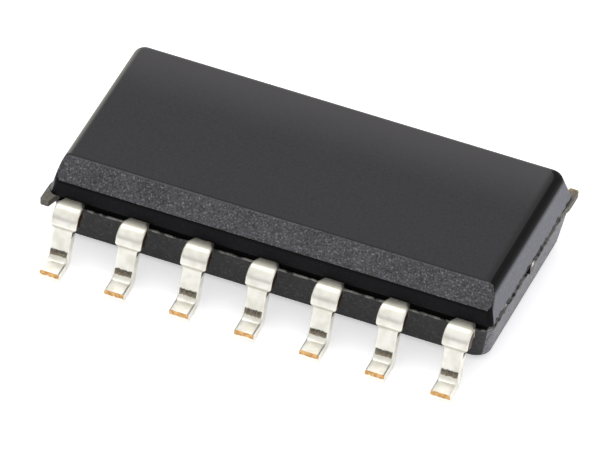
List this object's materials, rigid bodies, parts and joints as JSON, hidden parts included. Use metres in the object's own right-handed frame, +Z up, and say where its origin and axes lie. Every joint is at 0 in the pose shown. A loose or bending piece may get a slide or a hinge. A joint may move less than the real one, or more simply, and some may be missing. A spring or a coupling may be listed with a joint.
{
  "type": "soic chip",
  "caption": "Small-outline integrated circuit: black moulded body with gull-wing leads along both long sides and a bevelled edge on the first lead's side.",
  "frame": {"origin": "middle of the seating plane, on which the feet of the leads stand", "axes": "+X along the body, away from the end with the first lead; +Z up, out of the top face; the row with the first lead is on the -Y side"},
  "size_m": [0.0088, 0.006, 0.0017],
  "materials": {
    "mould_compound": "matte",
    "matte_tin": "satin",
    "bare_copper": "satin",
    "silver_adhesive": "matte",
    "silicon": "polished",
    "gold": "polished"
  },
  "bodies": {
    "root": {"mould_body": "mould_compound", "die_pad": "bare_copper", "die_adhesive": "silver_adhesive", "die": "silicon", "lead_1": "matte_tin", "lead_2": "matte_tin", "lead_3": "matte_tin", "lead_4": "matte_tin", "lead_5": "matte_tin", "lead_6": "matte_tin", "lead_7": "matte_tin", "lead_8": "matte_tin", "lead_9": "matte_tin", "lead_10": "matte_tin", "lead_11": "matte_tin", "lead_12": "matte_tin", "lead_13": "matte_tin", "lead_14": "matte_tin", "bond_wire_1": "gold", "bond_wire_2": "gold", "bond_wire_3": "gold", "bond_wire_4": "gold", "bond_wire_5": "gold", "bond_wire_6": "gold", "bond_wire_7": "gold", "bond_wire_8": "gold", "bond_wire_9": "gold", "bond_wire_10": "gold", "bond_wire_11": "gold", "bond_wire_12": "gold", "bond_wire_13": "gold", "bond_wire_14": "gold"}
  },
  "joints": []
}
